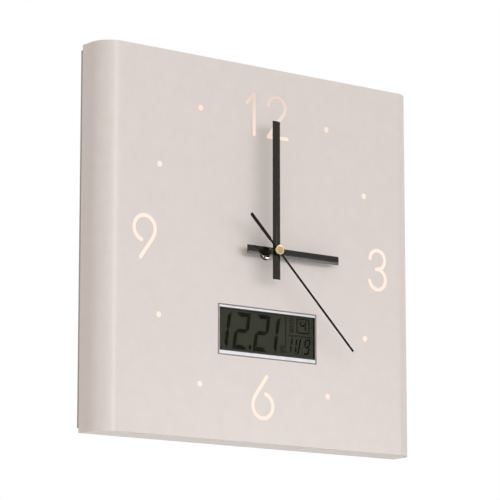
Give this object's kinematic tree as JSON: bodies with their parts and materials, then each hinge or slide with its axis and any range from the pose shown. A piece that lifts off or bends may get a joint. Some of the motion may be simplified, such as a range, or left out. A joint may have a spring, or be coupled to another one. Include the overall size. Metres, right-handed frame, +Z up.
{
  "type": "wall clock with calendar display",
  "caption": "Square wall clock: bent sheet case with rounded upright edges, cut-out lit dial, three bar hands, battery movement and a calendar display under the centre",
  "frame": {"origin": "on the back face that lies on the wall, behind the middle of the dial", "axes": "+X to the right as seen from the front, +Y into the wall, +Z up"},
  "size_m": [0.355, 0.0588, 0.346],
  "materials": {
    "case_paint": "fine satin powder coat, warm pale grey",
    "zinc_steel": "zinc plated, dull",
    "chrome": "polished",
    "brass": "polished, pale",
    "rubber": "matte",
    "opal_acrylic": "opal, lit from behind, warm white",
    "silver_plastic": "silver metallic, faint reflections",
    "display_window": "clear, glossy",
    "display_glass": "dark olive display glass",
    "housing_plastic": "fine texture",
    "movement_plastic": "fine texture",
    "gear_plastic": "natural acetal",
    "hand_black": "satin black lacquer",
    "circuit_board": "green solder mask",
    "copper_winding": "enamelled copper wire, wound",
    "cell_jacket": "plain shrink jacket",
    "control_plastic": "moulded grey",
    "wire_jacket": "smooth jacket"
  },
  "bodies": {
    "case": {"front_cover": "case_paint", "top_plate": "case_paint", "bottom_plate": "case_paint", "back_panel": "case_paint", "panel_screw_1": "zinc_steel", "panel_screw_2": "zinc_steel", "panel_screw_3": "zinc_steel", "panel_screw_4": "zinc_steel", "hanger_plate": "zinc_steel", "door_rail_upper": "zinc_steel", "door_rail_lower": "zinc_steel", "cable_grommet": "rubber", "diffuser_panel": "opal_acrylic", "light_strip_left": "circuit_board", "light_strip_right": "circuit_board", "light_strip_top": "circuit_board", "light_strip_bottom": "circuit_board", "light_driver": "housing_plastic", "terminal_block": "control_plastic", "light_switch_body": "housing_plastic", "supply_wire": "wire_jacket", "display_wire": "wire_jacket", "movement_case": "movement_plastic", "movement_cover": "movement_plastic", "train_bridge": "movement_plastic", "movement_bush": "chrome", "bush_washer": "chrome", "bush_nut": "chrome", "battery": "cell_jacket", "battery_contact_minus": "zinc_steel", "battery_contact_plus": "zinc_steel", "stator": "zinc_steel", "motor_coil": "copper_winding", "circuit_board": "circuit_board", "lcd_bezel": "silver_plastic", "lcd_window": "display_window", "lcd_panel": "display_glass", "lcd_housing": "housing_plastic", "lcd_board": "circuit_board", "lcd_back_cover": "housing_plastic", "lcd_nut_1": "zinc_steel", "lcd_nut_2": "zinc_steel"},
    "door": {"access_door": "case_paint"},
    "light_slider": {"light_switch_slider": "control_plastic"},
    "seconds": {"second_hand": "hand_black", "second_wheel": "gear_plastic", "hand_cap": "brass"},
    "motor_rotor": {"rotor": "gear_plastic"},
    "intermediate": {"intermediate_wheel": "gear_plastic"},
    "third": {"third_wheel": "gear_plastic"},
    "centre": {"centre_wheel": "gear_plastic"},
    "minutes": {"minute_hand": "hand_black", "minute_arbor": "brass"},
    "motion_wheel": {"minute_wheel": "gear_plastic"},
    "hours": {"hour_hand": "hand_black", "hour_wheel": "movement_plastic"},
    "knob": {"set_knob": "control_plastic"},
    "button_1": {"set_button_1": "control_plastic"},
    "button_2": {"set_button_2": "control_plastic"},
    "button_3": {"set_button_3": "control_plastic"}
  },
  "joints": [
    {"name": "second_hand_turn", "type": "hinge", "parent": "case", "child": "seconds", "pos_m": [0, -0.056, 0], "axis": [0, 1, 0], "continuous": true},
    {"name": "rotor_turn", "type": "hinge", "parent": "case", "child": "motor_rotor", "pos_m": [0.02069, -0.0196, 0.00284], "axis": [0, 1, 0], "continuous": true},
    {"name": "intermediate_turn", "type": "hinge", "parent": "case", "child": "intermediate", "pos_m": [0.01142, -0.021, 0.00532], "axis": [0, 1, 0], "continuous": true},
    {"name": "third_wheel_turn", "type": "hinge", "parent": "case", "child": "third", "pos_m": [-0.01198, -0.0238, -0.00436], "axis": [0, 1, 0], "continuous": true},
    {"name": "centre_wheel_turn", "type": "hinge", "parent": "case", "child": "centre", "pos_m": [0, -0.0252, 0], "axis": [0, 1, 0], "continuous": true},
    {"name": "minute_hand_turn", "type": "hinge", "parent": "case", "child": "minutes", "pos_m": [0, -0.0533, 0], "axis": [0, 1, 0], "continuous": true},
    {"name": "minute_wheel_turn", "type": "hinge", "parent": "case", "child": "motion_wheel", "pos_m": [0, -0.028, -0.012], "axis": [0, 1, 0], "continuous": true},
    {"name": "hour_hand_turn", "type": "hinge", "parent": "case", "child": "hours", "pos_m": [0, -0.045, 0], "axis": [0, 1, 0], "continuous": true},
    {"name": "set_knob_turn", "type": "hinge", "parent": "case", "child": "knob", "pos_m": [0.01039, -0.0151, -0.018], "axis": [0, 1, 0], "continuous": true},
    {"name": "door_slide", "type": "slide", "parent": "case", "child": "door", "axis": [1, 0, 0], "range_m": [0, 0.068]},
    {"name": "light_switch_slide", "type": "slide", "parent": "case", "child": "light_slider", "axis": [1, 0, 0], "range_m": [0, 0.004]},
    {"name": "button_1_press", "type": "slide", "parent": "case", "child": "button_1", "axis": [0, -1, 0], "range_m": [0, 0.0008], "stiffness_N_per_m": 600},
    {"name": "button_2_press", "type": "slide", "parent": "case", "child": "button_2", "axis": [0, -1, 0], "range_m": [0, 0.0008], "stiffness_N_per_m": 600},
    {"name": "button_3_press", "type": "slide", "parent": "case", "child": "button_3", "axis": [0, -1, 0], "range_m": [0, 0.0008], "stiffness_N_per_m": 600}
  ],
  "couplings": [
    {"joint": "rotor_turn", "follows": "second_hand_turn", "ratio": 30},
    {"joint": "intermediate_turn", "follows": "second_hand_turn", "ratio": -6},
    {"joint": "third_wheel_turn", "follows": "second_hand_turn", "ratio": -0.13333},
    {"joint": "centre_wheel_turn", "follows": "second_hand_turn", "ratio": 0.016667},
    {"joint": "minute_wheel_turn", "follows": "minute_hand_turn", "ratio": -0.33333},
    {"joint": "hour_hand_turn", "follows": "minute_hand_turn", "ratio": 0.083333},
    {"joint": "set_knob_turn", "follows": "minute_hand_turn", "ratio": 1}
  ]
}
